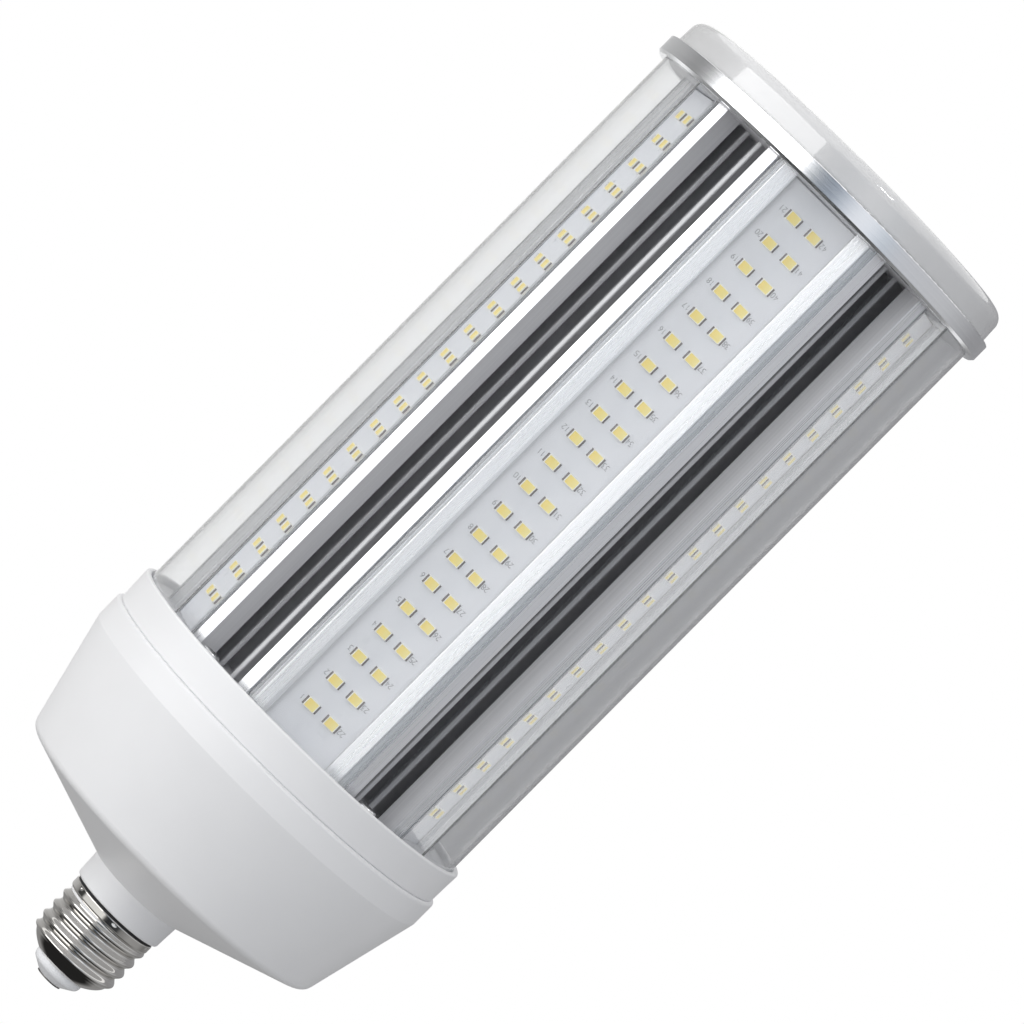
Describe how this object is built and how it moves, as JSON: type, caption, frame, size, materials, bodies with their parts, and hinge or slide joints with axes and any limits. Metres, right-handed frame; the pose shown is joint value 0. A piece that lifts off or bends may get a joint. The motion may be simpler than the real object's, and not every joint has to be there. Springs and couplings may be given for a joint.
{
  "type": "led light bulb",
  "caption": "LED corn lamp with an E27 screw cap, a white base, flat light panels under clear covers on an aluminium heat sink, a polished ring and a white top cap",
  "frame": {"origin": "on the lamp's axis, at the outer face of the centre contact", "axes": "+Z along the axis from the screw cap to the top cap; -Y through the middle of panel 1"},
  "size_m": [0.112, 0.112, 0.2901],
  "materials": {
    "nickel_cap": "bright nickel plate",
    "contact_metal": "tinned",
    "cap_insulation": "glossy",
    "white_housing": "satin",
    "aluminium_body": "extruded, clear anodised",
    "polished_ring": "polished",
    "white_cap": "satin",
    "board_white": "white solder mask on an aluminium core",
    "led_phosphor": "yellow phosphor in a white frame",
    "clear_cover": "clear",
    "screw_steel": "zinc plate",
    "driver_laminate": "solder mask",
    "ferrite": "sintered",
    "copper_winding": "enamelled copper wire",
    "component_black": "sleeved",
    "film_case": "moulded case",
    "lead_red": "insulated wire",
    "lead_black": "insulated wire"
  },
  "bodies": {
    "root": {"screw_shell": "nickel_cap", "centre_contact": "contact_metal", "cap_insulator": "cap_insulation", "base_housing": "white_housing", "housing_collar": "white_housing", "heat_sink": "aluminium_body", "mounting_deck": "aluminium_body", "top_plate": "aluminium_body", "top_ring": "polished_ring", "top_cap": "white_cap", "led_board_1": "board_white", "led_board_2": "board_white", "led_board_3": "board_white", "led_board_4": "board_white", "led_board_5": "board_white", "led_packages_1": "led_phosphor", "led_packages_2": "led_phosphor", "led_packages_3": "led_phosphor", "led_packages_4": "led_phosphor", "led_packages_5": "led_phosphor", "light_cover_1": "clear_cover", "light_cover_2": "clear_cover", "light_cover_3": "clear_cover", "light_cover_4": "clear_cover", "light_cover_5": "clear_cover", "deck_screws": "screw_steel", "heat_sink_screws": "screw_steel", "top_plate_screws": "screw_steel", "driver_screws": "screw_steel", "driver_board": "driver_laminate", "transformer_core": "ferrite", "transformer_winding": "copper_winding", "line_choke": "copper_winding", "bulk_capacitors": "component_black", "bridge_rectifier": "component_black", "film_capacitor": "film_case", "live_lead": "lead_red", "positive_leads": "lead_red", "neutral_lead": "lead_black", "negative_leads": "lead_black"}
  },
  "joints": []
}
